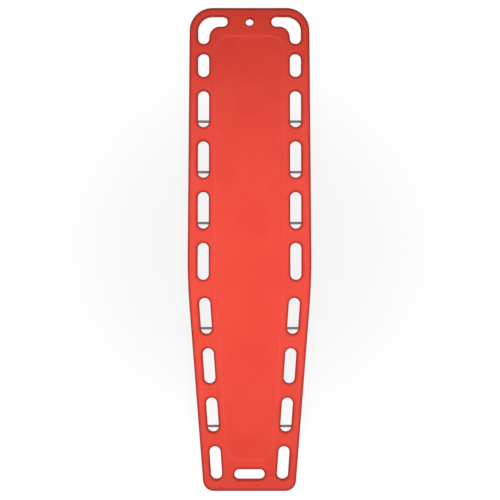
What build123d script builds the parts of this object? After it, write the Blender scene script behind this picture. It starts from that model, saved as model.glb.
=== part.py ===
from build123d import *
import math
import os
from typing import NamedTuple

os.makedirs("parts", exist_ok=True)

# Spine board: a hollow moulded board with handholds all round, filled with rigid foam, with strap pins
# across some handholds. Millimetres: +Y points to the head end, +Z out of the face that the patient lies
# on, and left is -X. The underside runners stand on Z = 0 and the board is centred on X = Y = 0.

# Plan outline: the widths are those of the straight-sided figure, before its corners are rounded
board_length = 1830
head_width = 453
hip_width = 471
foot_width = 347
head_corner_radius = 87
hip_blend_radius = 2400
foot_corner_radius = 41

# Thickness and moulded edges
body_thickness = 42
wall = 3.2
top_edge_radius = 14
bottom_edge_chamfer = 10
handhold_edge_chamfer = 3

# Shallow field for the patient, sunk between the two rows of handholds. Its corner radius takes at most
# this share of its half-width
field_depth = 3
field_shoulder = 14
field_corner_radius = 60
field_corner_share = 0.9
field_side_margin = 14
field_end_margin = 30

# Runners under the board, which keep the handholds off the ground
runner_height = 8
runner_width = 42
runner_draft = 25
runner_side_margin = 8
runner_end_margin = 70

# Handholds: one row down each side, all of one width and with full-round ends. The longest is the last one
# above the hip, and each next one is shorter by the step of its row, up the trunk and down the legs
handhold_width = 46
head_rail = 30
hip_rail = 36.3
foot_rail = 30
trunk_handholds = 4
leg_handholds = 4
trunk_handhold_step = 1.2
leg_handhold_step = 3.7
short_handhold_length = 91.2
corner_web = 33.5
short_web = 50.1
trunk_web = 50.5
hip_web = 64.6
leg_web = 51
foot_end_rim = 41.7

# Corner handholds: L-shaped. One arm runs along the head end, to this reach from the board's side, and
# one down the side, to this drop from the head end. The inner radius takes at most this share of an arm
head_end_rim = 30
corner_handhold_reach = 145.4
corner_handhold_drop = 137.5
corner_outer_radius = 56
corner_inner_radius = 38
corner_inner_share = 0.9

# Hanging hole at the head end and cross slot at the foot end. The slot and the arms along the head end are
# narrower than the handholds down the sides
hang_hole_diameter = 30
hang_hole_drop = 53.5
foot_slot_length = 119
foot_slot_rim = 41.6
end_opening_width = 42

# Strap pins, across the round foot-side end of these handholds, numbered from the corner handhold
pinned_numbers = {3, 4, 5, 7, 9}
pin_diameter = 9.5
pin_embedment = 14
pin_rib_wall = 5

# Stiffening rods in the foam
rod_diameter = 12.7
rod_end_clearance = 15

# Plugs welded into the two foam holes of the underside
plug_diameter = 28
plug_stand_out = 1.5
plug_head_offset = 200
plug_foot_offset = 200

# A corner flat that touches a circle, for a radius of one: the length it cuts off each side of a square
# corner, and half its own length
corner_cut = 2 - math.sqrt(2)
half_flat = math.sqrt(2) - 1

# Levels
underside = runner_height
patient_face = underside + body_thickness
mid_level = underside + body_thickness / 2

# Places along the board
head_end = board_length / 2
foot_end = -board_length / 2
end_radius = handhold_width / 2
end_opening_radius = end_opening_width / 2
pin_length = handhold_width + 2 * pin_embedment
hang_hole_y = head_end - hang_hole_drop
corner_arm_y = head_end - head_end_rim - end_opening_radius
corner_arm_end = head_width / 2 - corner_handhold_reach
corner_low_end = head_end - corner_handhold_drop
foot_slot_y = foot_end + foot_slot_rim + end_opening_radius
row_start = corner_low_end - corner_web
trunk_start = row_start - short_handhold_length - short_web
row_end = foot_end + foot_end_rim
webs = trunk_web * (trunk_handholds - 1) + hip_web + leg_web * (leg_handholds - 1)
trunk_shortening = trunk_handhold_step * trunk_handholds * (trunk_handholds - 1) / 2
leg_shortening = leg_handhold_step * leg_handholds * (leg_handholds + 1) / 2
room = trunk_start - row_end - webs + trunk_shortening + leg_shortening
longest_handhold = room / (trunk_handholds + leg_handholds)
trunk_run = trunk_handholds * longest_handhold - trunk_shortening + (trunk_handholds - 1) * trunk_web
hip_y = trunk_start - trunk_run

# The row of handholds follows the side at these distances from the board's centreline
row_head_x = head_width / 2 - head_rail - end_radius
row_hip_x = hip_width / 2 - hip_rail - end_radius
row_foot_x = foot_width / 2 - foot_rail - end_radius


class Handhold(NamedTuple):
    """A side handhold: centre on the right-hand side, overall length, and lean outward in degrees."""

    x: float
    y: float
    length: float
    lean: float


def row_line(y: float) -> tuple[float, float]:
    """The handhold row's distance from the centreline at y, and its outward lean in degrees."""
    if y > hip_y:
        rise, run = row_head_x - row_hip_x, head_end - hip_y
    else:
        rise, run = row_hip_x - row_foot_x, hip_y - foot_end
    return row_hip_x + rise * (y - hip_y) / run, math.degrees(math.atan2(rise, run))


def side_handholds() -> list[Handhold]:
    """The handholds of one side below the corner handhold, from the head end down."""
    trunk = [longest_handhold - trunk_handhold_step * k for k in reversed(range(trunk_handholds))]
    legs = [longest_handhold - leg_handhold_step * (k + 1) for k in range(leg_handholds)]
    trunk_gaps = [short_web] + [trunk_web] * (trunk_handholds - 1)
    leg_gaps = [hip_web] + [leg_web] * (leg_handholds - 1)
    holds = []
    top = row_start
    for length, gap in zip([short_handhold_length] + trunk + legs, trunk_gaps + leg_gaps + [0]):
        centre = top - length / 2
        x, lean = row_line(centre)
        holds.append(Handhold(x, centre, length, lean))
        top -= length + gap
    return holds


handholds = side_handholds()
pinned = [hold for number, hold in enumerate(handholds, start=2) if number in pinned_numbers]

# Corner handhold: the line of its arm down the side, the centres of both round ends, and its two radii
corner_side_x = row_line(corner_arm_y)[0]
corner_arm_x = corner_arm_end + end_opening_radius
corner_low_y = corner_low_end + end_radius
corner_reach_left = corner_side_x - end_radius - corner_arm_x
corner_drop_left = corner_arm_y - end_opening_radius - corner_low_y
corner_inner = min(corner_inner_radius, corner_inner_share * min(corner_reach_left, corner_drop_left))
corner_outer = min(corner_outer_radius, corner_inner + min(end_opening_width, handhold_width))

# Runners: beside the narrowest stretch of the two rows, and clear of the end openings
runner_x = row_foot_x - end_radius - runner_side_margin - runner_width / 2
runner_head = corner_arm_y - end_opening_radius - runner_end_margin
runner_foot = foot_slot_y + end_opening_radius + runner_end_margin
runner_length = runner_head - runner_foot
runner_middle = (runner_head + runner_foot) / 2

# Plan outline of the board
with BuildSketch() as outline:
    with BuildLine():
        Polyline(
            (head_width / 2, head_end),
            (hip_width / 2, hip_y),
            (foot_width / 2, foot_end),
            (-foot_width / 2, foot_end),
            (-hip_width / 2, hip_y),
            (-head_width / 2, head_end),
            close=True,
        )
    make_face()
    fillet(outline.vertices().group_by(Axis.Y)[1], radius=hip_blend_radius)
    fillet(outline.vertices().group_by(Axis.Y)[-1], radius=head_corner_radius)
    fillet(outline.vertices().group_by(Axis.Y)[0], radius=foot_corner_radius)


def corner_handhold() -> Sketch:
    """Plan of the right-hand corner handhold."""
    outer_side, inner_side = corner_side_x + end_radius, corner_side_x - end_radius
    head_side, foot_side = corner_arm_y + end_opening_radius, corner_arm_y - end_opening_radius
    with BuildSketch() as plan:
        with BuildLine():
            Line((corner_arm_x, head_side), (outer_side - corner_outer, head_side))
            CenterArc((outer_side - corner_outer, head_side - corner_outer), corner_outer, 0, 90)
            Line((outer_side, head_side - corner_outer), (outer_side, corner_low_y))
            CenterArc((corner_side_x, corner_low_y), end_radius, 180, 180)
            Line((inner_side, corner_low_y), (inner_side, foot_side - corner_inner))
            CenterArc((inner_side - corner_inner, foot_side - corner_inner), corner_inner, 0, 90)
            Line((inner_side - corner_inner, foot_side), (corner_arm_x, foot_side))
            CenterArc((corner_arm_x, corner_arm_y), end_opening_radius, 90, 180)
        make_face()
    return plan.sketch


def openings() -> Sketch:
    """Plan of every opening through the board."""
    with BuildSketch() as plan:
        add(corner_handhold())
        for hold in handholds:
            with Locations(Location((hold.x, hold.y), -hold.lean)):
                SlotOverall(hold.length, handhold_width, rotation=90)
        mirror(about=Plane.YZ)
        with Locations((0, foot_slot_y)):
            SlotOverall(foot_slot_length, end_opening_width)
        with Locations((0, hang_hole_y)):
            Circle(hang_hole_diameter / 2)
    return plan.sketch


def clipped_rectangle(width: float, height: float, corner: float) -> Sketch:
    """A rectangle whose corners are cut by flats that touch a circle of radius corner."""
    with BuildSketch() as plan:
        Rectangle(width, height)
        chamfer(plan.vertices(), length=corner * corner_cut)
    return plan.sketch


def opening_walls() -> Sketch:
    """Plan of every opening with its wall, flat-sided towards the space inside the board."""
    end, arm = end_radius + wall, end_opening_radius + wall
    clip = (corner_outer + wall) * corner_cut
    inner_side, foot_side = corner_side_x - end, corner_arm_y - arm
    inner = corner_inner - wall
    middle = inner * (1 - math.sqrt(0.5))
    flat, arm_flat = end * half_flat, arm * half_flat
    with BuildSketch() as plan:
        with BuildLine():
            Polyline(
                (corner_arm_x - arm_flat, corner_arm_y + arm),
                (corner_side_x + end - clip, corner_arm_y + arm),
                (corner_side_x + end, corner_arm_y + arm - clip),
                (corner_side_x + end, corner_low_y - flat),
                (corner_side_x + flat, corner_low_y - end),
                (corner_side_x - flat, corner_low_y - end),
                (inner_side, corner_low_y - flat),
                (inner_side, foot_side - inner),
                (inner_side - middle, foot_side - middle),
                (inner_side - inner, foot_side),
                (corner_arm_x - arm_flat, foot_side),
                (corner_arm_x - arm, corner_arm_y - arm_flat),
                (corner_arm_x - arm, corner_arm_y + arm_flat),
                close=True,
            )
        make_face()
        for hold in handholds:
            with Locations(Location((hold.x, hold.y), -hold.lean)):
                add(clipped_rectangle(2 * end, hold.length + 2 * wall, end))
        for hold in pinned:
            with Locations(pin_place(hold)):
                Rectangle(pin_length + 2 * pin_rib_wall, pin_diameter + 2 * pin_rib_wall)
        mirror(about=Plane.YZ)
        with Locations((0, foot_slot_y)):
            add(clipped_rectangle(foot_slot_length + 2 * wall, 2 * arm, arm))
        hole = hang_hole_diameter / 2 + wall
        with Locations((0, hang_hole_y)):
            add(clipped_rectangle(2 * hole, 2 * hole, hole))
    return plan.sketch


def field_plan(margin: float, rounded: bool) -> Sketch:
    """Plan of the patient field, margin inside its upper edge, with round or clipped corners."""
    side = end_radius + field_side_margin + margin
    head_y = corner_arm_y - end_opening_radius - field_end_margin - margin
    foot_y = foot_slot_y + end_opening_radius + field_end_margin + margin
    right = [
        (row_line(head_y)[0] - side, head_y),
        (row_hip_x - side, hip_y),
        (row_line(foot_y)[0] - side, foot_y),
    ]
    corner = min(field_corner_radius, field_corner_share * min(x for x, _ in right))
    with BuildSketch() as plan:
        with BuildLine():
            Polyline(*right, *[(-x, y) for x, y in reversed(right)], close=True)
        make_face()
        levels = plan.vertices().group_by(Axis.Y)
        if rounded:
            fillet(levels[0] + levels[-1], radius=corner)
        else:
            chamfer(levels[0] + levels[-1], length=corner * corner_cut)
    return plan.sketch


def field_recess(top: float, rounded: bool) -> Part:
    """What the patient field takes away below the level top."""
    with BuildPart() as recess:
        with BuildSketch(Plane.XY.offset(top)):
            add(field_plan(0, rounded))
        with BuildSketch(Plane.XY.offset(top - field_depth)):
            add(field_plan(field_shoulder, rounded))
        loft()
    return recess.part


def runner_pair(top: float, plan: Sketch) -> Part:
    """Two runners with the given plan at their root, hanging from the level top."""
    with BuildPart() as pair:
        with BuildSketch(Plane.XY.offset(top)):
            with Locations((runner_x, runner_middle), (-runner_x, runner_middle)):
                add(plan)
        extrude(amount=-runner_height, taper=runner_draft)
    return pair.part


def pin_place(hold: Handhold) -> tuple[float, float]:
    """Centre of the strap pin of a right-hand handhold: that of its round foot-side end."""
    reach = hold.length / 2 - end_radius
    lean = math.radians(hold.lean)
    return hold.x - reach * math.sin(lean), hold.y - reach * math.cos(lean)


def across_handhold(hold: Handhold, side: int, section: Sketch) -> Part:
    """The section run across a handhold's foot-side end and into both its walls."""
    x, y = pin_place(hold)
    start = (side * x - pin_length / 2, y, mid_level)
    with BuildPart() as bar:
        with BuildSketch(Plane(origin=start, x_dir=(0, 1, 0), z_dir=(1, 0, 0))):
            add(section)
        extrude(amount=pin_length)
    return bar.part


# Sections of a strap pin, and of the eight-sided pocket that is moulded round it
with BuildSketch() as pin_section:
    Circle(pin_diameter / 2)
with BuildSketch() as pocket_section:
    RegularPolygon(radius=pin_diameter / 2, side_count=8, major_radius=False)

# Strap pins
for side, side_name in ((-1, "left"), (1, "right")):
    for number, hold in enumerate(pinned, start=1):
        with BuildPart() as strap_pin:
            add(across_handhold(hold, side, pin_section.sketch))
        strap_pin.part.label = f"strap_pin_{side_name}_{number}"
        export_step(strap_pin.part, f"parts/strap_pin_{side_name}_{number}.step")

# Plugs in the foam holes, on the centreline of the underside
plug_places = {
    "fill_plug_head": (0, head_end - plug_head_offset),
    "fill_plug_foot": (0, foot_end + plug_foot_offset),
}
for plug_name, place in plug_places.items():
    with BuildPart() as fill_plug:
        with BuildSketch(Plane.XY.offset(underside - plug_stand_out)):
            with Locations(place):
                Circle(plug_diameter / 2)
        extrude(amount=wall + plug_stand_out)
    fill_plug.part.label = plug_name
    export_step(fill_plug.part, f"parts/{plug_name}.step")

# Space inside the shell: it has flats where the outside has rounds, so the wall is nowhere thinner
inner_height = body_thickness - 2 * wall
with BuildPart() as cavity:
    with BuildSketch(Plane.XY.offset(underside + wall)):
        offset(outline.sketch, amount=-wall)
    extrude(amount=inner_height)
    chamfer(cavity.faces().sort_by(Axis.Z)[-1].edges(), length=top_edge_radius - wall)
    bottom_inner_chamfer = bottom_edge_chamfer - wall * corner_cut
    chamfer(cavity.faces().sort_by(Axis.Z)[0].edges(), length=bottom_inner_chamfer)
    with BuildSketch(Plane.XY.offset(underside + wall)):
        add(opening_walls())
    extrude(amount=inner_height, mode=Mode.SUBTRACT)
    add(field_recess(patient_face - wall, rounded=False), mode=Mode.SUBTRACT)
    with BuildSketch() as inner_runner:
        Rectangle(runner_width - 2 * wall, runner_length - runner_width)
    add(runner_pair(underside + wall, inner_runner.sketch))

# Shell: one hollow moulding with its openings, runners, pin pockets and foam holes
with BuildPart() as board_shell:
    with BuildSketch(Plane.XY.offset(underside)):
        add(outline.sketch)
    extrude(amount=body_thickness)
    fillet(board_shell.faces().sort_by(Axis.Z)[-1].edges(), radius=top_edge_radius)
    chamfer(board_shell.faces().sort_by(Axis.Z)[0].edges(), length=bottom_edge_chamfer)
    with BuildSketch(Plane.XY.offset(underside)):
        add(openings())
    extrude(amount=body_thickness, mode=Mode.SUBTRACT)
    rims = board_shell.faces().sort_by(Axis.Z)[-1].inner_wires()
    grips = rims.filter_by(lambda rim: rim.length > math.pi * end_opening_width)
    chamfer([edge for rim in grips for edge in rim.edges()], length=handhold_edge_chamfer)
    add(field_recess(patient_face, rounded=True), mode=Mode.SUBTRACT)
    with BuildSketch() as outer_runner:
        SlotOverall(runner_length, runner_width, rotation=90)
    add(runner_pair(underside, outer_runner.sketch))
    pockets = [across_handhold(h, s, pocket_section.sketch) for h in pinned for s in (-1, 1)]
    add([cavity.part, *pockets], mode=Mode.SUBTRACT)
    with BuildSketch(Plane.XY.offset(underside)):
        with Locations(*plug_places.values()):
            Circle(plug_diameter / 2)
    extrude(amount=wall, mode=Mode.SUBTRACT)
board_shell.part.label = "board_shell"
export_step(board_shell.part, "parts/board_shell.step")

# Stiffening rods, one above each runner, between the cross slot and the corner handholds
rod_head = corner_arm_y - end_opening_radius - wall - rod_end_clearance
rod_foot = foot_slot_y + end_opening_radius + wall + rod_end_clearance
stiffener_rods = []
for side, side_name in ((-1, "left"), (1, "right")):
    with BuildPart() as stiffener_rod:
        with BuildSketch(Plane(origin=(side * runner_x, rod_foot, mid_level), z_dir=(0, 1, 0))):
            Circle(rod_diameter / 2)
        extrude(amount=rod_head - rod_foot)
    stiffener_rod.part.label = f"stiffener_rod_{side_name}"
    stiffener_rods.append(stiffener_rod.part)
    export_step(stiffener_rod.part, f"parts/stiffener_rod_{side_name}.step")

# Foam core: fills the shell round the rods
with BuildPart() as foam_core:
    add(cavity.part)
    add(stiffener_rods, mode=Mode.SUBTRACT)
foam_core.part.label = "foam_core"
export_step(foam_core.part, "parts/foam_core.step")
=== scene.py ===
"""A rotomoulded spine board, dressed and lit as in a studio photograph taken from straight above.

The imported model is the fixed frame. The plastic moulding is modelled here in full detail over the
board_shell node, the strap pins and foam plugs over theirs. The foam and rods inside keep their own shapes.
"""

import logging
import math
from dataclasses import dataclass, field
from enum import Enum
from typing import Any, Callable, Iterable

import bmesh
import bpy
import numpy as np
from mathutils.geometry import delaunay_2d_cdt
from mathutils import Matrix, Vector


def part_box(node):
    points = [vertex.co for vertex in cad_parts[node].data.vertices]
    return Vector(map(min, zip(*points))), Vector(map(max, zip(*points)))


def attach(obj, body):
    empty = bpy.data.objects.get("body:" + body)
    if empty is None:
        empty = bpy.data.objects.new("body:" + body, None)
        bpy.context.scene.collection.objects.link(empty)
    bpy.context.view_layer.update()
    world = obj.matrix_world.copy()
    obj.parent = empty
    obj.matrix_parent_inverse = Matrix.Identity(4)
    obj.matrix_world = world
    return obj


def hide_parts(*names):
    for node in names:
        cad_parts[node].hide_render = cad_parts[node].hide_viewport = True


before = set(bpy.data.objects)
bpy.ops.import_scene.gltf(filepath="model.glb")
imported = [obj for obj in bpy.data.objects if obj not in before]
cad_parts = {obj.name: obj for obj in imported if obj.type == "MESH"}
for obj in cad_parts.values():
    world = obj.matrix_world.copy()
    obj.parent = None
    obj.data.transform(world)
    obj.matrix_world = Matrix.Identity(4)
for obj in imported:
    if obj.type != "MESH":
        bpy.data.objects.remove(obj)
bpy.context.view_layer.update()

log = logging.getLogger("spine_board")

MM = 0.001
BODY = "root"
# two points nearer than this, in the unit at hand, are one
SAME_POINT = 1e-7
# a turn in radians, or a share of a step, that is too small to matter
SLIGHT = 1e-6

Point = tuple[float, float]


class Side(Enum):
    """A side of the board, seen from above with its head end up."""

    LEFT = -1
    RIGHT = 1


class Bend(Enum):
    """Which way a corner of a path turns from its own direction of travel."""

    LEFT = 1
    RIGHT = -1


def linear(hex_code: str) -> tuple[float, float, float, float]:
    """Turn an sRGB hex colour into the linear colour that shaders take.

    Args:
        hex_code: six hex digits, as in "F04A3A".

    Returns:
        Linear red, green, blue and an alpha of 1.
    """
    channels = [int(hex_code[k : k + 2], 16) / 255 for k in (0, 2, 4)]
    red, green, blue = (c / 12.92 if c <= 0.04045 else ((c + 0.055) / 1.055) ** 2.4 for c in channels)
    return red, green, blue, 1.0


def per_metre(size_mm: float) -> float:
    """The texture scale at which one feature of a pattern is size_mm across."""
    return 1000.0 / size_mm


def add_node(
    tree: bpy.types.NodeTree,
    kind: str,
    inputs: dict[str | int, Any] | None = None,
    output: str | int = 0,
    **settings: Any,
) -> bpy.types.NodeSocket | None:
    """Add a shader node, with its settings, its constants and the links into it.

    Args:
        tree: the node tree that gets the node.
        kind: the node's type name, without its ShaderNode prefix.
        inputs: for each socket, by name or number, a constant or the output socket to link to it.
        output: the node's output that is wanted, by name or number.
        settings: the node's own properties.

    Returns:
        The wanted output, or None for a node that has none.
    """
    node = tree.nodes.new("ShaderNode" + kind)
    for name, value in settings.items():
        setattr(node, name, value)
    for name, value in (inputs or {}).items():
        if isinstance(value, bpy.types.NodeSocket):
            tree.links.new(value, node.inputs[name])
        else:
            node.inputs[name].default_value = value
    return node.outputs[output] if node.outputs else None


def new_material(name: str) -> tuple[bpy.types.Material, bpy.types.NodeTree, bpy.types.NodeSocket]:
    """Make a node material that holds only its object's own coordinates.

    Args:
        name: the material's name.

    Returns:
        The material, its node tree and the coordinates' socket.
    """
    material = bpy.data.materials.new(name)
    material.use_nodes = True
    tree = material.node_tree
    tree.nodes.clear()
    return material, tree, add_node(tree, "TexCoord", output="Object")


def new_object(name: str, data: bpy.types.ID) -> bpy.types.Object:
    """Make an object and put it in the scene.

    Args:
        name: the object's name.
        data: its mesh, camera or light.

    Returns:
        The object.
    """
    made = bpy.data.objects.new(name, data)
    bpy.context.scene.collection.objects.link(made)
    return made


@dataclass(frozen=True)
class RotomouldedPolyethylene:
    """High-density polyethylene, sintered from powder against a blasted mould and cooled in it.

    The powder leaves faint drifts and specks of pigment, the blasted mould a fine pebbled skin, and slow
    cooling a slight waviness. Rounded rims and walls are duller where hands and straps rub, and darker with
    painted shade.
    """

    name: str = "rotomoulded_high_density_polyethylene"
    colour: str = "F0422C"
    drift_colour: str = "ED3C29"
    speck_colour: str = "D8321F"
    rim_shade_colour: str = "8E1D12"
    scuff_colour: str = "F07868"
    ior: float = 1.54
    specular_level: float = 0.35
    roughness: float = 0.46
    wall_dulling: float = 0.35
    drift_mm: float = 110.0
    speck_mm: float = 2.4
    shade_and_gloss_patch_mm: float = 28.0
    scratch_mm: float = 1.4
    pebble_mm: float = 1.6
    waviness_mm: float = 75.0
    scatter_mm: float = 2.5

    def material(self) -> bpy.types.Material:
        """Build the finish.

        Returns:
            The material, which reads the rim and sole attributes of the moulding's mesh.
        """
        made, tree, place = new_material(self.name)
        # pigment drifts are about a hand wide
        drifts = {"Vector": place, "Scale": per_metre(self.drift_mm), "Detail": 3.0}
        drift = add_node(tree, "TexNoise", drifts)
        drift = add_node(tree, "MapRange", {0: drift, 1: 0.35, 2: 0.7}, interpolation_type="SMOOTHSTEP")
        # powder grains are about 0.5 mm across, drawn 5 times as coarse so that they show
        specks = {"Vector": place, "Scale": per_metre(self.speck_mm), "Detail": 2.0}
        speck = add_node(tree, "TexNoise", specks)
        speck = add_node(tree, "MapRange", {0: speck, 1: 0.58, 2: 0.8, 4: 0.5})
        # painted shade darkens the rims and walls in patches about two fingers wide, and the same patches
        # vary their gloss
        rim = add_node(tree, "Attribute", output="Fac", attribute_name="rim")
        patches = {"Vector": place, "Scale": per_metre(self.shade_and_gloss_patch_mm), "Detail": 4.0}
        shade_and_gloss_patch = add_node(tree, "TexNoise", patches)
        shade_and_gloss_patch = add_node(tree, "MapRange", {0: shade_and_gloss_patch, 1: 0.3, 2: 0.7, 3: 0.55, 4: 0.85})
        painted_rim_shade = add_node(tree, "Math", {0: rim, 1: shade_and_gloss_patch}, operation="MULTIPLY")
        # dragging over the ground scores the runners' soles with pale lines along the board
        sole = add_node(tree, "Attribute", output="Fac", attribute_name="sole")
        drag = add_node(tree, "Mapping", {"Vector": place, "Scale": (1.0, 0.03, 1.0)})
        scores = {"Vector": drag, "Scale": per_metre(self.scratch_mm), "Detail": 3.0}
        score = add_node(tree, "TexNoise", scores)
        score = add_node(tree, "MapRange", {0: score, 1: 0.5, 2: 0.68, 4: 0.7})
        scored = add_node(tree, "Math", {0: sole, 1: score}, operation="MULTIPLY")
        colour = linear(self.colour)
        layers = [
            (drift, self.drift_colour),
            (speck, self.speck_colour),
            # painted shade on the rims, walls and coves
            (painted_rim_shade, self.rim_shade_colour),
            (scored, self.scuff_colour),
        ]
        for share, over in layers:
            tints = {0: share, 6: colour, 7: linear(over)}
            colour = add_node(tree, "Mix", tints, 2, data_type="RGBA")
        gloss = {0: shade_and_gloss_patch, 1: 0.55, 2: 0.85, 3: self.roughness - 0.04, 4: self.roughness + 0.05}
        rough = add_node(tree, "MapRange", gloss)
        rough = add_node(tree, "Math", {0: rim, 1: self.wall_dulling, 2: rough}, operation="MULTIPLY_ADD")
        # the blasted mould's pebbling is about 0.5 mm across, drawn 3 times as coarse so that it shows
        pebbles = {"Vector": place, "Scale": per_metre(self.pebble_mm), "Detail": 2.0, "Roughness": 0.6}
        pebble = add_node(tree, "TexNoise", pebbles)
        fine = add_node(tree, "Bump", {"Height": pebble, "Strength": 0.3, "Distance": 0.12 * MM})
        # slow cooling leaves waves about 75 mm long and half a millimetre high
        waves = {"Vector": place, "Scale": per_metre(self.waviness_mm), "Detail": 1.0}
        wave = add_node(tree, "TexNoise", waves)
        swell = {"Height": wave, "Strength": 0.5, "Distance": 0.5 * MM, "Normal": fine}
        bump = add_node(tree, "Bump", swell)
        scatter = self.scatter_mm * MM
        skin = {
            "Base Color": colour,
            "Roughness": rough,
            "IOR": self.ior,
            "Specular IOR Level": self.specular_level,
            "Normal": bump,
            "Subsurface Weight": 0.05,
            "Subsurface Radius": (scatter, 0.4 * scatter, 0.3 * scatter),
            "Subsurface Scale": 1.0,
        }
        add_node(tree, "OutputMaterial", {"Surface": add_node(tree, "BsdfPrincipled", skin)})
        return made


@dataclass(frozen=True)
class DrawnStainless:
    """Stainless steel bar, pulled through a die and dulled by use: fine lines, and a dark reddish tone that
    is painted reflection.
    """

    name: str = "drawn_stainless_steel"
    colour: str = "7B6E6C"
    line_colour: str = "5C504E"
    roughness: float = 0.34
    line_mm: float = 0.6

    def material(self) -> bpy.types.Material:
        """Build the finish.

        Returns:
            The material, with its drawing lines along X.
        """
        made, tree, place = new_material(self.name)
        # die lines are about 0.1 mm apart, drawn 6 times as coarse so that they show, and 30 mm long or more
        along = add_node(tree, "Mapping", {"Vector": place, "Scale": (0.02, 1.0, 1.0)})
        lines = {"Vector": along, "Scale": per_metre(self.line_mm), "Detail": 3.0, "Roughness": 0.6}
        line = add_node(tree, "TexNoise", lines)
        share = add_node(tree, "MapRange", {0: line, 1: 0.35, 2: 0.7, 4: 0.8})
        # the base and line colours are dark and reddish: a painted reflection, tinted by the red plastic
        # round the pins
        tints = {0: share, 6: linear(self.colour), 7: linear(self.line_colour)}
        colour = add_node(tree, "Mix", tints, 2, data_type="RGBA")
        gloss = {0: line, 1: 0.3, 2: 0.7, 3: self.roughness - 0.06, 4: self.roughness + 0.08}
        rough = add_node(tree, "MapRange", gloss)
        bump = add_node(tree, "Bump", {"Height": line, "Strength": 0.3, "Distance": 0.02 * MM})
        steel = {"Base Color": colour, "Metallic": 1.0, "Roughness": rough, "Normal": bump}
        add_node(tree, "OutputMaterial", {"Surface": add_node(tree, "BsdfPrincipled", steel)})
        return made


@dataclass(frozen=True)
class SpinWeldedPolyethylene:
    """Polyethylene disc, spun against its hole's edge until both melt: fine rings and some gloss."""

    name: str = "spin_welded_polyethylene"
    colour: str = "E23C28"
    ring_colour: str = "C5301F"
    ior: float = 1.54
    roughness: float = 0.38
    ring_mm: float = 1.2
    rings_per_unit: float = 6.3

    def material(self, centre: tuple[float, float]) -> bpy.types.Material:
        """Build the finish round a plug's axis.

        Args:
            centre: the axis in plan, in metres.

        Returns:
            The material.
        """
        made, tree, place = new_material(self.name)
        place = add_node(tree, "Mapping", {"Vector": place, "Location": (-centre[0], -centre[1], 0.0)})
        # the rings that spinning leaves are about 0.3 mm apart, drawn 4 times as coarse so that they show,
        # and a wave texture makes about 6 rings in each unit of its scale
        scale = per_metre(self.ring_mm) / self.rings_per_unit
        rings = {"Vector": place, "Scale": scale, "Distortion": 0.3, "Detail": 2.0}
        ring = add_node(tree, "TexWave", rings, "Fac", wave_type="RINGS", rings_direction="Z")
        share = add_node(tree, "MapRange", {0: ring, 1: 0.2, 2: 0.9, 4: 0.6})
        tints = {0: share, 6: linear(self.colour), 7: linear(self.ring_colour)}
        colour = add_node(tree, "Mix", tints, 2, data_type="RGBA")
        bump = add_node(tree, "Bump", {"Height": ring, "Strength": 0.3, "Distance": 0.05 * MM})
        rough = {0: share, 2: 0.6, 3: self.roughness, 4: self.roughness + 0.08}
        gloss = add_node(tree, "MapRange", rough)
        skin = {"Base Color": colour, "Roughness": gloss, "IOR": self.ior, "Normal": bump}
        add_node(tree, "OutputMaterial", {"Surface": add_node(tree, "BsdfPrincipled", skin)})
        return made


@dataclass(frozen=True)
class PouredPolyurethaneFoam:
    """Rigid polyurethane foam, poured in and risen: pale and matt, with small cells."""

    name: str = "poured_polyurethane_foam"
    colour: str = "E9DCB4"
    cell_colour: str = "C9B98A"
    cell_mm: float = 1.5

    def material(self) -> bpy.types.Material:
        """Build the finish.

        Returns:
            The material.
        """
        made, tree, place = new_material(self.name)
        # foam cells are about 0.5 mm across, drawn 3 times as coarse so that they show
        cell = add_node(tree, "TexVoronoi", {"Vector": place, "Scale": per_metre(self.cell_mm)}, "Distance")
        share = add_node(tree, "MapRange", {0: cell, 1: 0.1, 2: 0.7})
        tints = {0: share, 6: linear(self.colour), 7: linear(self.cell_colour)}
        colour = add_node(tree, "Mix", tints, 2, data_type="RGBA")
        bump = add_node(tree, "Bump", {"Height": cell, "Strength": 0.6, "Distance": 0.3 * MM})
        foam = {"Base Color": colour, "Roughness": 0.95, "IOR": 1.5, "Normal": bump}
        add_node(tree, "OutputMaterial", {"Surface": add_node(tree, "BsdfPrincipled", foam)})
        return made


@dataclass(frozen=True)
class PultrudedGlassFibre:
    """Glass fibre rod, pulled through resin and a hot die: glossy resin over long straight fibres."""

    name: str = "pultruded_glass_fibre"
    colour: str = "D8CFA2"
    fibre_colour: str = "B7AC7C"
    fibre_mm: float = 0.8

    def material(self) -> bpy.types.Material:
        """Build the finish.

        Returns:
            The material, with its fibres along Y.
        """
        made, tree, place = new_material(self.name)
        # glass rovings are about 0.8 mm across and run the whole length of the rod
        along = add_node(tree, "Mapping", {"Vector": place, "Scale": (1.0, 0.01, 1.0)})
        fibres = {"Vector": along, "Scale": per_metre(self.fibre_mm), "Detail": 3.0, "Roughness": 0.6}
        fibre = add_node(tree, "TexNoise", fibres)
        share = add_node(tree, "MapRange", {0: fibre, 1: 0.35, 2: 0.65})
        tints = {0: share, 6: linear(self.colour), 7: linear(self.fibre_colour)}
        colour = add_node(tree, "Mix", tints, 2, data_type="RGBA")
        bump = add_node(tree, "Bump", {"Height": fibre, "Strength": 0.3, "Distance": 0.05 * MM})
        rod = {"Base Color": colour, "Roughness": 0.3, "IOR": 1.55, "Normal": bump}
        add_node(tree, "OutputMaterial", {"Surface": add_node(tree, "BsdfPrincipled", rod)})
        return made


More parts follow.
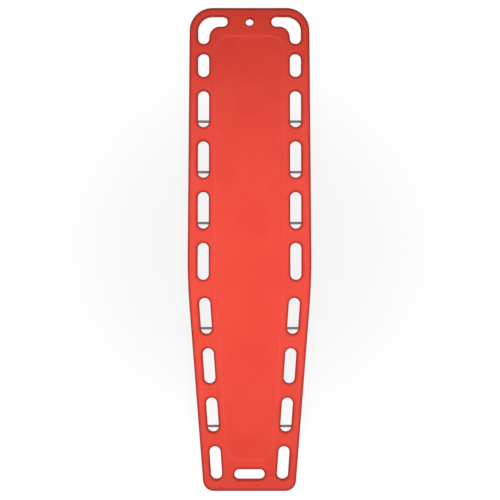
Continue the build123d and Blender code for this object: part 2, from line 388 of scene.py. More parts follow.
def rounded_path(
    corners: list[Point],
    radii: list[float],
    closed: bool = True,
    turn_step: float = 6.0,
    spacing: float = math.inf,
) -> tuple[np.ndarray, np.ndarray]:
    """Walk a path of straight runs whose corners are rounded by arcs.

    Args:
        corners: the path's corners before rounding, in millimetres.
        radii: each corner's radius, where 0 leaves it sharp. An open path's two ends take 0.
        closed: whether the path returns to its first corner.
        turn_step: the turn between two points of an arc, in degrees.
        spacing: the furthest that two points may be apart, in millimetres.

    Returns:
        The points, and at each the unit normal to the right of the direction of travel.
    """
    path = np.array(corners, float)
    count = len(path)
    points: list[np.ndarray] = []
    normals: list[np.ndarray] = []

    def put(point: np.ndarray, normal: np.ndarray) -> None:
        """Add a point, filling the run up to it, and drop one that repeats the last.

        Args:
            point: the point.
            normal: the unit normal there.
        """
        if points:
            gap = float(np.linalg.norm(point - points[-1]))
            if gap < SAME_POINT:
                return
            steps = math.ceil(gap / spacing - SLIGHT) if math.isfinite(spacing) else 1
            start, turned = points[-1], normals[-1]
            for k in range(1, steps):
                points.append(start + (point - start) * k / steps)
                normals.append(turned)
        points.append(point)
        normals.append(normal)

    for k in range(count):
        here, radius = path[k], radii[k]
        to_here = here - path[k - 1] if closed or k else path[1] - path[0]
        from_here = path[(k + 1) % count] - here if closed or k < count - 1 else to_here
        before, after = to_here / np.linalg.norm(to_here), from_here / np.linalg.norm(from_here)
        turn = math.atan2(before[0] * after[1] - before[1] * after[0], float(before @ after))
        bend = Bend.LEFT if turn > 0 else Bend.RIGHT
        right = np.array([before[1], -before[0]])
        if radius <= 0 or abs(turn) < SLIGHT:
            put(here, right)
            continue
        start = here - before * radius * math.tan(abs(turn) / 2)
        centre = start - right * radius * bend.value
        turns = math.ceil(math.degrees(abs(turn)) / turn_step)
        steps = max(2, turns, math.ceil(radius * abs(turn) / spacing))
        for i in range(steps + 1):
            angle = turn * i / steps
            spun = np.array(
                [
                    right[0] * math.cos(angle) - right[1] * math.sin(angle),
                    right[0] * math.sin(angle) + right[1] * math.cos(angle),
                ]
            )
            put(centre + spun * radius * bend.value, spun)
    if closed:
        first, turned = points[0], normals[0]
        put(first.copy(), turned)
        points.pop()
        normals.pop()
    return np.array(points), np.array(normals)


@dataclass(frozen=True)
class Loop:
    """A closed curve in plan, in metres, with the unit normal at each point that leads into the plastic."""

    points: np.ndarray
    into: np.ndarray

    def moved(self, depth: float) -> np.ndarray:
        """The curve's points, moved by depth into the plastic."""
        return self.points + self.into * depth


@dataclass
class Draft:
    """The vertices and faces of one piece while it is put together, in metres."""

    vertices: list[tuple[float, float, float]] = field(default_factory=list)
    faces: list[tuple[int, ...]] = field(default_factory=list)
    marks: dict[str, dict[int, float]] = field(default_factory=dict)
    # how near a sheet's inner points come to its rings, as a share of their spacing
    clearance: float = 0.6
    # about how many points of a ring are measured at a time
    batch: int = 200
    # points nearer than this are one to the triangulation
    merge: float = 1e-9

    def ring(self, plan: np.ndarray, height: float) -> list[int]:
        """Add a ring of vertices at one height.

        Args:
            plan: the ring's points in plan.
            height: its level.

        Returns:
            The new vertices' numbers.
        """
        start = len(self.vertices)
        self.vertices += [(float(x), float(y), height) for x, y in plan]
        return list(range(start, len(self.vertices)))

    def band(self, first: list[int], second: list[int]) -> None:
        """Join two rings of as many vertices by four-sided faces.

        Args:
            first: one ring's vertices.
            second: the other's, each beside its neighbour in the first.
        """
        count = len(first)
        self.faces += [
            (first[k], first[(k + 1) % count], second[(k + 1) % count], second[k]) for k in range(count)
        ]

    def sweep(self, loop: Loop, profile: Iterable[Point]) -> list[list[int]]:
        """Sweep a section round a loop.

        Args:
            loop: the curve in plan.
            profile: depth into the plastic and height at each point, in millimetres.

        Returns:
            The rings of vertices, one for each point of the section.
        """
        rings = [self.ring(loop.moved(depth * MM), height * MM) for depth, height in profile]
        for first, second in zip(rings, rings[1:]):
            self.band(first, second)
        return rings

    def lathe(
        self,
        profile: list[Point],
        place: Callable[[float, float, float], tuple[float, float, float]],
        count: int,
        hoop: bool = False,
    ) -> list[list[int]]:
        """Turn a section round an axis.

        Args:
            profile: radius and distance along the axis at each point, in metres.
            place: gives the point for two coordinates across the axis and one along it.
            count: how many points go round.
            hoop: whether the section's last point joins its first. If not, flat faces close its ends.

        Returns:
            The rings of vertices, one for each point of the section.
        """
        rings = []
        for radius, along in profile:
            start = len(self.vertices)
            for k in range(count):
                angle = 2 * math.pi * k / count
                self.vertices.append(place(radius * math.cos(angle), radius * math.sin(angle), along))
            rings.append(list(range(start, start + count)))
        for first, second in zip(rings, rings[1:]):
            self.band(first, second)
        if hoop:
            self.band(rings[-1], rings[0])
        else:
            self.faces += [tuple(rings[0]), tuple(rings[-1])]
        return rings

    def mark(self, name: str, ring: list[int], value: float) -> None:
        """Set an attribute of a ring's vertices."""
        self.marks.setdefault(name, {}).update(dict.fromkeys(ring, value))

    def sheet(self, edge: list[int], holes: list[list[int]], spacing: float) -> None:
        """Fill the level area inside a ring, around its holes, with an even mesh of triangles.

        Args:
            edge: the ring round the area.
            holes: the rings of its holes.
            spacing: how far apart the points inside are, in metres.
        """
        rings = [edge, *holes]
        flat = [np.array([self.vertices[v][:2] for v in ring]) for ring in rings]
        level = self.vertices[edge[0]][2]
        numbers = [v for ring in rings for v in ring]
        segments: list[tuple[int, int]] = []
        start = 0
        for ring in rings:
            segments += [(start + k, start + (k + 1) % len(ring)) for k in range(len(ring))]
            start += len(ring)
        inner = self._grid(flat, spacing)
        numbers += self.ring(inner, level)
        places = np.vstack([*flat, inner])
        made = delaunay_2d_cdt([tuple(p) for p in places], segments, [], 0, self.merge)
        origin = [numbers[found[0]] for found in made[3]]
        triangles = np.array(made[2])
        middles = np.array([tuple(p) for p in made[0]])[triangles].mean(axis=1)
        keep = inside(flat[0], middles)
        for hole in flat[1:]:
            keep &= ~inside(hole, middles)
        self.faces += [tuple(origin[v] for v in face) for face in triangles[keep]]

    def _grid(self, rings: list[np.ndarray], spacing: float) -> np.ndarray:
        """Lay staggered points inside the first ring and outside the others, clear of them all.

        Args:
            rings: the area's edge, then its holes.
            spacing: how far apart the points are, in metres.

        Returns:
            The points in plan.
        """
        low, high = rings[0].min(axis=0), rings[0].max(axis=0)
        rows = np.arange(low[1], high[1], spacing * math.sqrt(0.75))
        columns = np.arange(low[0], high[0], spacing)
        grid = np.array([(x + spacing / 2 * (k % 2), y) for k, y in enumerate(rows) for x in columns])
        keep = inside(rings[0], grid)
        for ring in rings[1:]:
            keep &= ~inside(ring, grid)
        grid = grid[keep]
        clear = np.ones(len(grid), bool)
        for ring in rings:
            for part in np.array_split(ring, max(1, len(ring) // self.batch)):
                gaps = np.linalg.norm(grid[:, None] - part[None], axis=2).min(axis=1)
                clear &= gaps > self.clearance * spacing
        return grid[clear]

    def piece(self, name: str, material: bpy.types.Material) -> bpy.types.Object:
        """Turn the draft into a smooth-shaded object that rides on the board.

        Args:
            name: the piece's name.
            material: its finish.

        Returns:
            The new object.
        """
        mesh = bpy.data.meshes.new(name)
        mesh.from_pydata(self.vertices, [], self.faces)
        work = bmesh.new()
        work.from_mesh(mesh)
        bmesh.ops.recalc_face_normals(work, faces=work.faces[:])
        for face in work.faces:
            face.smooth = True
        work.to_mesh(mesh)
        work.free()
        for mark, values in self.marks.items():
            attribute = mesh.attributes.new(mark, "FLOAT", "POINT")
            for vertex, value in values.items():
                attribute.data[vertex].value = value
        mesh.materials.append(material)
        made = new_object(name, mesh)
        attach(made, BODY)
        log.info("%s: %d faces", name, len(mesh.polygons))
        return made


def inside(ring: np.ndarray, points: np.ndarray) -> np.ndarray:
    """Find which points lie inside a closed ring.

    Args:
        ring: the ring's points in plan.
        points: the points to test.

    Returns:
        True for each point inside.
    """
    found = np.zeros(len(points), bool)
    for (x0, y0), (x1, y1) in zip(ring, np.roll(ring, -1, axis=0)):
        if y0 == y1:
            continue
        crosses = (points[:, 1] >= min(y0, y1)) != (points[:, 1] >= max(y0, y1))
        found ^= crosses & (points[:, 0] < x0 + (points[:, 1] - y0) * (x1 - x0) / (y1 - y0))
    return found


@dataclass
class Moulding:
    """The board's plastic moulding: body, handholds, patient field and runners.

    Sizes are in millimetres, turns in degrees, and the rim mark, for painted shade and dulling, is a share
    from 0 to 1.
    """

    length: float = 1830.0
    head_width: float = 453.0
    hip_width: float = 471.0
    foot_width: float = 347.0
    head_corner: float = 87.0
    foot_corner: float = 41.0
    hip_blend: float = 2400.0
    underside: float = 8.0
    thickness: float = 42.0
    upper_edge: float = 14.0
    lower_edge: float = 15.0
    grip_edge: float = 12.0
    grip_under_edge: float = 4.0
    hole_edge: float = 6.0
    wall_shade_and_dulling: float = 0.45
    rim_mark_rise: float = 14.0
    handhold_width: float = 46.0
    head_rail: float = 30.0
    hip_rail: float = 36.3
    foot_rail: float = 30.0
    trunk_handholds: int = 4
    leg_handholds: int = 4
    trunk_step: float = 1.2
    leg_step: float = 3.7
    short_length: float = 91.2
    corner_web: float = 33.5
    short_web: float = 50.1
    trunk_web: float = 50.5
    hip_web: float = 64.6
    leg_web: float = 51.0
    foot_end_rim: float = 41.7
    head_end_rim: float = 30.0
    corner_reach: float = 145.4
    corner_drop: float = 137.5
    corner_outer: float = 56.0
    corner_inner: float = 38.0
    hang_hole: float = 30.0
    hang_hole_drop: float = 53.5
    foot_slot_length: float = 119.0
    foot_slot_rim: float = 41.6
    end_width: float = 42.0
    field_depth: float = 3.0
    field_shoulder: float = 14.0
    shoulder_steps: int = 10
    field_corner: float = 60.0
    field_side_margin: float = 14.0
    field_end_margin: float = 30.0
    runner_width: float = 42.0
    runner_side_margin: float = 8.0
    runner_end_margin: float = 70.0
    runner_draft: float = 3.7
    runner_root: float = 3.0
    runner_sole_edge: float = 3.5
    sole_wear_height: float = 1.5
    seam_height: float = 0.4
    seam_width: float = 2.4
    wall_draft: float = 2.0
    level_border: float = 0.8
    collar_reach: float = 3.6
    collar_height: float = 1.8
    collar_lip: float = 0.4
    collar_root: float = 3.0
    collar_shade_and_dulling: float = 0.6
    collar_steps: int = 6
    collar_sides: int = 40
    mesh_spacing: float = 12.0
    edge_spacing: float = 12.0
    grip_spacing: float = 9.0
    runner_spacing: float = 16.0
    edge_turn: float = 10.0
    grip_turn: float = 15.0
    hole_turn: float = 18.0
    runner_turn: float = 12.0
    finish: RotomouldedPolyethylene = field(default_factory=RotomouldedPolyethylene)

    def __post_init__(self) -> None:
        """Work out the places that several openings share."""
        self.head_end = self.length / 2
        self.foot_end = -self.length / 2
        self.end_radius = self.handhold_width / 2
        self.top = self.underside + self.thickness
        self.middle = self.underside + self.thickness / 2
        self.arm_radius = self.end_width / 2
        self.hole_y = self.head_end - self.hang_hole_drop
        self.arm_y = self.head_end - self.head_end_rim - self.arm_radius
        self.corner_low = self.head_end - self.corner_drop
        self.slot_y = self.foot_end + self.foot_slot_rim + self.arm_radius
        self.row_start = self.corner_low - self.corner_web
        trunk_start = self.row_start - self.short_length - self.short_web
        webs = self.trunk_web * (self.trunk_handholds - 1) + self.hip_web
        webs += self.leg_web * (self.leg_handholds - 1)
        trunk_shortening = self.trunk_step * self.trunk_handholds * (self.trunk_handholds - 1) / 2
        leg_shortening = self.leg_step * self.leg_handholds * (self.leg_handholds + 1) / 2
        room = trunk_start - (self.foot_end + self.foot_end_rim) - webs + trunk_shortening + leg_shortening
        self.longest = room / (self.trunk_handholds + self.leg_handholds)
        trunk_run = self.trunk_handholds * self.longest - trunk_shortening
        trunk_run += (self.trunk_handholds - 1) * self.trunk_web
        self.hip_y = trunk_start - trunk_run
        self.row_head_x = self.head_width / 2 - self.head_rail - self.end_radius
        self.row_hip_x = self.hip_width / 2 - self.hip_rail - self.end_radius
        self.row_foot_x = self.foot_width / 2 - self.foot_rail - self.end_radius

    def row_line(self, y: float) -> tuple[float, float]:
        """Find the handhold row's place and lean.

        Args:
            y: how far up the board, in millimetres.

        Returns:
            The row's distance from the centreline, and its outward lean in radians.
        """
        if y > self.hip_y:
            rise, run = self.row_head_x - self.row_hip_x, self.head_end - self.hip_y
        else:
            rise, run = self.row_hip_x - self.row_foot_x, self.hip_y - self.foot_end
        return self.row_hip_x + rise * (y - self.hip_y) / run, math.atan2(rise, run)

    def loop(self, corners: list[Point], radii: list[float], spacing: float, hole: bool) -> Loop:
        """Round a closed outline, in millimetres and anticlockwise, and turn it into a loop in metres.

        Args:
            corners: the outline's corners.
            radii: the radius of each.
            spacing: the furthest that two points may be apart.
            hole: whether the plastic lies outside the outline.

        Returns:
            The loop.
        """
        points, right = rounded_path(corners, radii, spacing=spacing)
        return Loop(points * MM, right if hole else -right)

    def hipped(self, head: Point, hip_x: float, foot: Point, rounds: tuple[float, float]) -> Loop:
        """Draw a loop with straight ends, whose sides bend at the hips.

        Args:
            head: the head end's right-hand corner.
            hip_x: half the width at the hips.
            foot: the foot end's right-hand corner.
            rounds: the corner radii at the head end and at the foot end.

        Returns:
            The loop.
        """
        hip = (hip_x, self.hip_y)
        left = [(-x, y) for x, y in (head, hip, foot)]
        head_round, foot_round = rounds
        radii = [head_round, head_round, self.hip_blend, foot_round, foot_round, self.hip_blend]
        return self.loop([head, *left, foot, hip], radii, self.edge_spacing, hole=False)

    def outline(self) -> Loop:
        """Draw the board's outline in plan."""
        head, foot = (self.head_width / 2, self.head_end), (self.foot_width / 2, self.foot_end)
        return self.hipped(head, self.hip_width / 2, foot, (self.head_corner, self.foot_corner))

    def slot(self, x: float, y: float, length: float, radius: float, lean: float) -> Loop:
        """Draw a slot with full-round ends.

        Args:
            x: its centre across the board.
            y: its centre along the board.
            length: its overall length.
            radius: that of its round ends.
            lean: how far its length is turned clockwise from the board's, in radians.

        Returns:
            The loop.
        """
        across, along = radius, length / 2
        turned = [
            (x + u * math.cos(lean) + v * math.sin(lean), y - u * math.sin(lean) + v * math.cos(lean))
            for u, v in ((across, along), (-across, along), (-across, -along), (across, -along))
        ]
        return self.loop(turned, [radius] * 4, self.grip_spacing, hole=True)

    def corner_handhold(self) -> Loop:
        """Draw the L-shaped handhold in the right-hand corner of the head end.

        Returns:
            The loop.
        """
        side_x = self.row_line(self.arm_y)[0]
        outer_x, inner_x = side_x + self.end_radius, side_x - self.end_radius
        high, low = self.arm_y + self.arm_radius, self.arm_y - self.arm_radius
        arm_end = self.head_width / 2 - self.corner_reach
        corners = [
            (outer_x, high),
            (arm_end, high),
            (arm_end, low),
            (inner_x, low),
            (inner_x, self.corner_low),
            (outer_x, self.corner_low),
        ]
        arm_ends, side_ends = [self.arm_radius] * 2, [self.end_radius] * 2
        radii = [self.corner_outer, *arm_ends, self.corner_inner, *side_ends]
        return self.loop(corners, radii, self.grip_spacing, hole=True)

    def side_handholds(self) -> list[Loop]:
        """Draw the right-hand row of handholds, from the corner to the foot end.

        Returns:
            Their loops.
        """
        trunk = [self.longest - self.trunk_step * k for k in reversed(range(self.trunk_handholds))]
        legs = [self.longest - self.leg_step * (k + 1) for k in range(self.leg_handholds)]
        gaps = [self.short_web, *[self.trunk_web] * (self.trunk_handholds - 1), self.hip_web]
        gaps += [self.leg_web] * self.leg_handholds
        found = []
        top = self.row_start
        for length, gap in zip([self.short_length, *trunk, *legs], gaps):
            centre = top - length / 2
            x, lean = self.row_line(centre)
            found.append(self.slot(x, centre, length, self.end_radius, lean))
            top -= length + gap
        return found

    def handholds(self) -> list[Loop]:
        """Draw every handhold of both sides, and the slot across the foot end.

        Returns:
            Their loops.
        """
        right = [self.corner_handhold(), *self.side_handholds()]
        flip = np.array([-1.0, 1.0])
        left = [Loop((one.points * flip)[::-1], (one.into * flip)[::-1]) for one in right]
        across = self.slot(0.0, self.slot_y, self.foot_slot_length, self.arm_radius, math.pi / 2)
        return [*right, *left, across]

    def circle(self, x: float, y: float, radius: float) -> Loop:
        """Draw a round hole, from its bounding square."""
        square = [(x + radius * u, y + radius * v) for u, v in ((1, 1), (-1, 1), (-1, -1), (1, -1))]
        return self.loop(square, [radius] * 4, math.inf, hole=True)

    def wall_profile(self, upper: float, lower: float, draft: float, step: float) -> np.ndarray:
        """Draw the section of an edge or an opening's wall, from the upper level face to the lower one.

        Args:
            upper: the upper edge's radius.
            lower: the lower edge's radius.
            draft: how far the wall stands proud at mid-height.
            step: the turn between two points of its arcs, in degrees.

        Returns:
            Depth into the plastic and height at each point, in millimetres.
        """
        border = self.level_border
        seam = self.seam_width / 2
        corners = [
            (upper + border, self.top),
            (0.0, self.top),
            (-draft, self.middle + seam),
            (-draft - self.seam_height, self.middle),
            (-draft, self.middle - seam),
            (0.0, self.underside),
            (lower + border, self.underside),
        ]
        radii = [0.0, upper, self.seam_height, self.seam_height, self.seam_height, lower, 0.0]
        return rounded_path(corners, radii, closed=False, turn_step=step)[0]

    def wall(self, draft: Draft, loop: Loop, profile: np.ndarray) -> tuple[list[int], list[int]]:
        """Sweep a section round a loop, and mark its rim for painted shade and dulling.

        Args:
            draft: the mesh that gets the wall.
            loop: the curve in plan.
            profile: the section, as wall_profile gives it.

        Returns:
            The wall's uppermost and lowest rings.
        """
        rings = draft.sweep(loop, profile)
        steps = np.gradient(profile, axis=0)
        # the rim mark paints shade on the wall and dulls it, more where it is steeper and higher up
        for ring, (_, height), (run, fall) in zip(rings, profile, steps):
            slope = math.atan2(abs(fall), abs(run)) / (math.pi / 2)
            rise = min(max((height - self.middle) / self.rim_mark_rise, 0.0), 1.0)
            draft.mark("rim", ring, slope * (self.wall_shade_and_dulling + (1.0 - self.wall_shade_and_dulling) * rise))
        return rings[0], rings[-1]

    def shoulder(self, draft: Draft) -> tuple[list[int], list[int]]:
        """Sink the patient field by a soft shoulder.

        Args:
            draft: the mesh that gets the shoulder.

        Returns:
            The shoulder's outer ring, level with the rails, and its inner ring, at the field's level.
        """
        side = self.end_radius + self.field_side_margin
        head_y = self.arm_y - self.arm_radius - self.field_end_margin
        foot_y = self.slot_y + self.arm_radius + self.field_end_margin
        head, foot = ((self.row_line(y)[0] - side, y) for y in (head_y, foot_y))
        edge = self.hipped(head, self.row_hip_x - side, foot, (self.field_corner, self.field_corner))
        profile = []
        for k in range(self.shoulder_steps + 1):
            share = k / self.shoulder_steps
            sunk = self.field_depth * share * share * (3 - 2 * share)
            profile.append((self.field_shoulder * share, self.top - sunk))
        rings = draft.sweep(edge, profile)
        return rings[0], rings[-1]

    def runner(self, draft: Draft, side: Side) -> list[int]:
        """Model one runner under the board, with its rounded root, drafted sides and rounded sole.

        Args:
            draft: the mesh that gets the runner.
            side: which one.

        Returns:
            Its outer ring, level with the underside.
        """
        x = self.row_foot_x - self.end_radius - self.runner_side_margin - self.runner_width / 2
        head = self.arm_y - self.arm_radius - self.runner_end_margin
        foot = self.slot_y + self.arm_radius + self.runner_end_margin
        half, centre = self.runner_width / 2, side.value * x
        ends = ((half, head), (-half, head), (-half, foot), (half, foot))
        edge = self.loop([(centre + u, y) for u, y in ends], [half] * 4, self.runner_spacing, hole=False)
        section = [
            (-self.runner_root - self.level_border, self.underside),
            (0.0, self.underside),
            (self.runner_draft, 0.0),
            (self.runner_draft + self.runner_sole_edge + self.level_border, 0.0),
        ]
        radii = [0.0, self.runner_root, self.runner_sole_edge, 0.0]
        profile = rounded_path(section, radii, closed=False, turn_step=self.runner_turn)[0]
        rings = draft.sweep(edge, profile)
        for ring, (_, height) in zip(rings, profile):
            draft.mark("sole", ring, max(0.0, 1.0 - height / self.sole_wear_height))
        before = len(draft.vertices)
        draft.sheet(rings[-1], [], self.mesh_spacing * MM)
        draft.mark("sole", list(range(before, len(draft.vertices))), 1.0)
        return rings[0]

    def collar(self, draft: Draft, pin: "StrapPin", side: Side) -> None:
        """Model the small cove of plastic that shrinks round a pin where it enters a handhold's wall.

        Args:
            draft: the mesh that gets the cove.
            pin: the pin.
            side: which of the handhold's two walls, seen from the handhold's middle.
        """
        wall_x = pin.centre[0] + side.value * self.end_radius * MM
        y, z = pin.centre[1:]
        cove = []
        for k in range(self.collar_steps + 1):
            share = k / self.collar_steps
            rise = self.collar_height * (1 - math.sqrt(1 - (1 - share) ** 2)) - self.collar_lip * share
            cove.append((pin.radius + self.collar_reach * MM * share, rise * MM))
        cove += [(radius, -self.collar_root * MM) for radius in (cove[-1][0], cove[0][0])]
        rings = draft.lathe(
            cove, lambda u, v, rise: (wall_x - side.value * rise, y + u, z + v), self.collar_sides, hoop=True
        )
        # the rim mark paints shade in the cove and dulls it
        for ring in rings:
            draft.mark("rim", ring, self.collar_shade_and_dulling)

    def build(self, pins: list["StrapPin"], plugs: list["FoamPlug"]) -> bpy.types.Object:
        """Model the whole moulding and let it stand for the shell.

        Args:
            pins: the strap pins, which get coves round their ends.
            plugs: the foam plugs, which get holes in the underside.

        Returns:
            The moulding.
        """
        draft = Draft()
        side = self.wall_profile(self.upper_edge, self.lower_edge, 0.0, self.edge_turn)
        edge = self.wall(draft, self.outline(), side)
        grip = self.wall_profile(self.grip_edge, self.grip_under_edge, self.wall_draft, self.grip_turn)
        mouths = [self.wall(draft, loop, grip) for loop in self.handholds()]
        hole = self.wall_profile(self.hole_edge, self.hole_edge, 0.0, self.hole_turn)
        mouths.append(self.wall(draft, self.circle(0.0, self.hole_y, self.hang_hole / 2), hole))
        brim, field_edge = self.shoulder(draft)
        spacing = self.mesh_spacing * MM
        draft.sheet(edge[0], [*[mouth[0] for mouth in mouths], brim], spacing)
        draft.sheet(field_edge, [], spacing)
        runners = [self.runner(draft, one) for one in Side]
        seats = [plug.seat(draft, self) for plug in plugs]
        draft.sheet(edge[1], [*[mouth[1] for mouth in mouths], *runners, *seats], spacing)
        for pin in pins:
            for one in Side:
                self.collar(draft, pin, one)
        made = draft.piece("board_moulding", self.finish.material())
        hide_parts("board_shell")
        return made


@dataclass
class StrapPin:
    """One strap pin: a short drawn bar across a handhold, with chamfered ends."""

    node: str
    chamfer: float = 0.8 * MM
    sides: int = 72
    rings: int = 9

    def __post_init__(self) -> None:
        """Take the pin's place and size from its node."""
        low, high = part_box(self.node)
        self.start, self.end = low.x, high.x
        self.radius = (high.z - low.z) / 2
        self.centre = ((low.x + high.x) / 2, (low.y + high.y) / 2, (low.z + high.z) / 2)

    def build(self, material: bpy.types.Material) -> bpy.types.Object:
        """Model the pin.

        Args:
            material: its finish.

        Returns:
            The pin.
        """
        draft = Draft()
        slim = self.radius - self.chamfer
        places = np.linspace(self.start + self.chamfer, self.end - self.chamfer, self.rings)
        profile = [(slim, self.start), *[(self.radius, float(x)) for x in places], (slim, self.end)]
        draft.lathe(profile, lambda u, v, x: (x, self.centre[1] + u, self.centre[2] + v), self.sides)
        made = draft.piece(self.node + "_bar", material)
        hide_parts(self.node)
        return made


@dataclass
class FoamPlug:
    """One plug in a foam hole of the underside: a dished disc with a rounded rim."""

    node: str
    rim: float = 1.2 * MM
    edge_width: float = 3.6 * MM
    dish: float = 0.6 * MM
    dish_tilt: float = 0.3
    hub: float = 0.5 * MM
    dish_points: int = 5
    rim_points: int = 6
    sides: int = 72

    def __post_init__(self) -> None:
        """Take the plug's place and size from its node."""
        low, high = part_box(self.node)
        self.centre = ((low.x + high.x) / 2, (low.y + high.y) / 2)
        self.radius = (high.x - low.x) / 2
        self.low, self.high = low.z, high.z

    def seat(self, draft: Draft, board: Moulding) -> list[int]:
        """Cut the plug's hole in the underside, a shallow blind pocket that the plug covers.

        Args:
            draft: the moulding's mesh.
            board: the moulding.

        Returns:
            The hole's ring, level with the underside.
        """
        loop = board.circle(self.centre[0] / MM, self.centre[1] / MM, self.radius / MM)
        rim = draft.ring(loop.points, board.underside * MM)
        floor = draft.ring(loop.points, self.high)
        draft.band(rim, floor)
        draft.faces.append(tuple(floor))
        return rim

    def build(self, material: bpy.types.Material) -> bpy.types.Object:
        """Model the plug.

        Args:
            material: its finish.

        Returns:
            The plug.
        """
        draft = Draft()
        inner = self.radius - self.edge_width
        profile = [(self.hub, self.low + self.dish), (inner, self.low + self.dish)]
        for t in np.linspace(self.dish_tilt, math.pi / 2, self.dish_points):
            profile.append((inner + self.rim * math.sin(t), self.low + self.dish * math.cos(t)))
        flat_end = self.radius - self.rim
        for t in np.linspace(0, math.pi / 2, self.rim_points):
            profile.append((flat_end + self.rim * math.sin(t), self.low + self.rim * (1 - math.cos(t))))
        profile.append((self.radius, self.high))
        draft.lathe(profile, lambda u, v, z: (self.centre[0] + u, self.centre[1] + v, z), self.sides)
        made = draft.piece(self.node + "_disc", material)
        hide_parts(self.node)
        return made


@dataclass
class Core:
    """What the moulding hides: its foam and the two stiffening rods, which keep the frame's own shapes."""

    foam: PouredPolyurethaneFoam = field(default_factory=PouredPolyurethaneFoam)
    rods: PultrudedGlassFibre = field(default_factory=PultrudedGlassFibre)

    def dress(self) -> None:
        """Give the foam and the rods their finishes."""
        rod = self.rods.material()
        finishes = {
            "foam_core": self.foam.material(),
            "stiffener_rod_left": rod,
            "stiffener_rod_right": rod,
        }
        for node, material in finishes.items():
            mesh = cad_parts[node].data
            mesh.materials.clear()
            mesh.materials.append(material)
            log.info("%s: dressed", node)


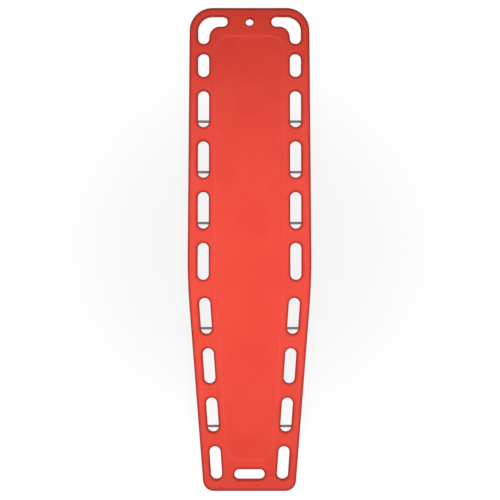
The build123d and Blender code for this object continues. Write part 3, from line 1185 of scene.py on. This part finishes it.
@dataclass
class Studio:
    """A white floor under two long softboxes, and the camera straight above. Lengths are in metres."""

    photo_px: float = 500.0
    metres_per_px: float = 0.003797
    centre_px: tuple[float, float] = (249.53, 249.46)
    measured_height: float = 0.029
    camera_height: float = 4.0
    sensor_mm: float = 36.0
    clip: tuple[float, float] = (0.1, 100.0)
    softbox_size: tuple[float, float] = (0.6, 2.0)
    softbox_aside: float = 0.5
    softbox_height: float = 0.8
    softbox_y: float = -0.16
    softbox_watts: float = 7.1
    world_fill: float = 0.15
    floor_size: float = 60.0
    glow_from: float = 0.3
    glow_to: float = 1.1
    glow_in_painted_shade: float = 0.86
    floor_share: float = 0.08
    floor_colour: str = "808080"

    def camera(self) -> None:
        """Hang the camera over the middle of the picture, with the board's head end up."""
        data = bpy.data.cameras.new("camera")
        made = new_object("camera", data)
        width = self.photo_px * self.metres_per_px
        data.sensor_width = self.sensor_mm
        data.lens = self.sensor_mm * (self.camera_height - self.measured_height) / width
        data.clip_start, data.clip_end = self.clip
        half = self.photo_px / 2
        x = (half - self.centre_px[0]) * self.metres_per_px
        y = (self.centre_px[1] - half) * self.metres_per_px
        made.location = (x, y, self.camera_height)
        bpy.context.scene.camera = made

    def softbox(self, side: Side) -> None:
        """Hang a softbox over one side of the board, tilted towards its middle. The camera doesn't see it.

        Args:
            side: which side.
        """
        data = bpy.data.lights.new(f"softbox_{side.name.lower()}", "AREA")
        data.shape = "RECTANGLE"
        data.size, data.size_y = self.softbox_size
        data.energy = self.softbox_watts
        made = new_object(data.name, data)
        made.location = (side.value * self.softbox_aside, self.softbox_y, self.softbox_height)
        made.rotation_euler.y = side.value * math.atan2(self.softbox_aside, self.softbox_height)
        made.visible_camera = False

    def world(self) -> None:
        """Make the surroundings white to the camera and in reflections, and a dim fill for the rest."""
        made = bpy.data.worlds.new("studio_walls")
        bpy.context.scene.world = made
        made.use_nodes = True
        tree = made.node_tree
        tree.nodes.clear()
        white = add_node(tree, "Background", {"Color": linear("FFFFFF"), "Strength": 1.0})
        fill = add_node(tree, "Background", {"Color": linear("FFFFFF"), "Strength": self.world_fill})
        both = add_node(tree, "MixShader", {0: self.seen(tree), 1: fill, 2: white})
        add_node(tree, "OutputWorld", {"Surface": both})

    @staticmethod
    def seen(tree: bpy.types.NodeTree) -> bpy.types.NodeSocket:
        """Add the nodes that tell rays which show a surface from those that only carry its light.

        Args:
            tree: the node tree that gets them.

        Returns:
            A socket that is 1 for camera, glossy and transmission rays.
        """
        camera = add_node(tree, "LightPath", output="Is Camera Ray")
        glossy, through = (camera.node.outputs[name] for name in ("Is Glossy Ray", "Is Transmission Ray"))
        bounced = add_node(tree, "Math", {0: glossy, 1: through}, operation="MAXIMUM")
        return add_node(tree, "Math", {0: camera, 1: bounced}, operation="MAXIMUM")

    def floor(self) -> None:
        """Lay a white floor that glows to the camera, dimmer round the middle as a painted soft shadow, and
        still takes the board's shadow.
        """
        half = self.floor_size / 2
        mesh = bpy.data.meshes.new("floor")
        corners = [(-half, -half, 0.0), (half, -half, 0.0), (half, half, 0.0), (-half, half, 0.0)]
        mesh.from_pydata(corners, [], [(0, 1, 2, 3)])
        made = new_object("floor", mesh)
        material, tree, place = new_material("matt_white_painted_floor")
        # the glow is dimmer near the middle, under and beside the board, as painted soft shade, and rises to
        # full white further out
        away = add_node(tree, "VectorMath", {0: place}, "Value", operation="LENGTH")
        glow = {0: away, 1: self.glow_from, 2: self.glow_to, 3: self.glow_in_painted_shade, 4: 1.0}
        glow = add_node(tree, "MapRange", glow, interpolation_type="SMOOTHSTEP")
        glowing = add_node(tree, "Emission", {"Color": linear("FFFFFF"), "Strength": glow})
        shaded = add_node(tree, "BsdfDiffuse", {"Color": (self.floor_share,) * 3 + (1.0,)})
        shown = add_node(tree, "AddShader", {0: glowing, 1: shaded})
        bounce = add_node(tree, "BsdfDiffuse", {"Color": linear(self.floor_colour)})
        upper = add_node(tree, "MixShader", {0: self.seen(tree), 1: bounce, 2: shown})
        beneath = add_node(tree, "NewGeometry", output="Backfacing")
        clear = add_node(tree, "BsdfTransparent")
        both = add_node(tree, "MixShader", {0: beneath, 1: upper, 2: clear})
        add_node(tree, "OutputMaterial", {"Surface": both})
        mesh.materials.append(material)

    def build(self) -> None:
        """Set up the camera, the floor, the surroundings and the lights."""
        self.camera()
        self.floor()
        self.world()
        for side in Side:
            self.softbox(side)
        bpy.context.scene.view_settings.view_transform = "Standard"
        log.info("studio: camera at %.2f m", self.camera_height)


def main() -> None:
    """Build the board piece by piece, then the studio round it."""
    logging.basicConfig(level=logging.INFO, format="%(name)s: %(message)s")
    pins = [StrapPin(node) for node in sorted(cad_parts) if node.startswith("strap_pin")]
    plugs = [FoamPlug(node) for node in sorted(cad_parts) if node.startswith("fill_plug")]
    Moulding().build(pins, plugs)
    steel = DrawnStainless().material()
    for pin in pins:
        pin.build(steel)
    for plug in plugs:
        plug.build(SpinWeldedPolyethylene().material(plug.centre))
    Core().dress()
    Studio().build()


if __name__ == "__main__":
    main()
